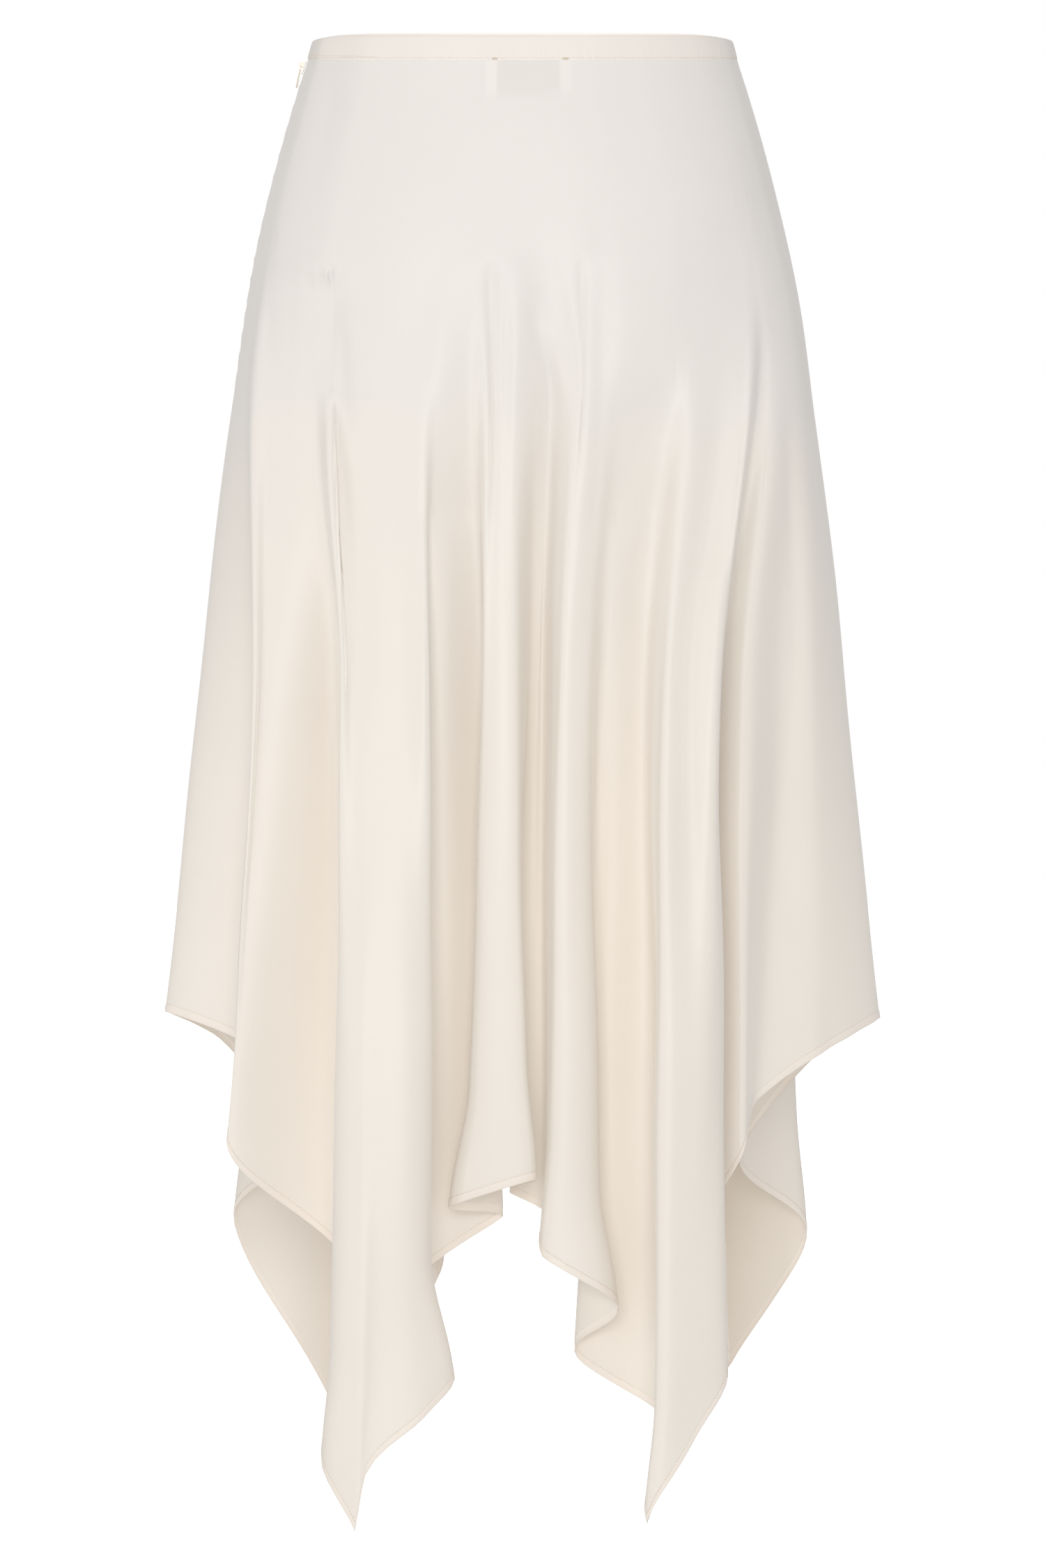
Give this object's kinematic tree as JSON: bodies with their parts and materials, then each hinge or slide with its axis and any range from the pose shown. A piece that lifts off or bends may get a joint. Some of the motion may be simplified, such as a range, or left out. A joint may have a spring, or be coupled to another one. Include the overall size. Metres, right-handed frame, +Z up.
{
  "type": "satin midi skirt",
  "caption": "Flared satin skirt with a narrow waistband, a side zip and a handkerchief hem that falls to long corner points, hanging hollow from its waist.",
  "frame": {"origin": "centre of the waist opening, at mid height of the waistband over the side seams", "axes": "+Z up the body, -Y out of the skirt's back, which the picture shows, +X to the wearer's right"},
  "size_m": [0.452, 0.3285, 0.9396],
  "materials": {
    "satin": "ivory satin, soft sheen",
    "band_satin": "ivory satin, folded and stitched",
    "label_cloth": "plain woven label",
    "zip_cloth": "ivory zip tape",
    "zip_metal": "ivory enamel"
  },
  "bodies": {
    "skirt": {"back_panel": "satin", "front_panel": "satin", "waistband": "band_satin", "care_label": "label_cloth", "zip_tape": "zip_cloth", "zip_slider": "zip_metal"},
    "pull": {"zip_pull": "zip_metal"}
  },
  "joints": [
    {"name": "pull_hinge", "type": "hinge", "parent": "skirt", "child": "pull", "pos_m": [-0.13974, 0, -0.01101], "axis": [0, 1, 0], "range_deg": [0, 165]}
  ]
}
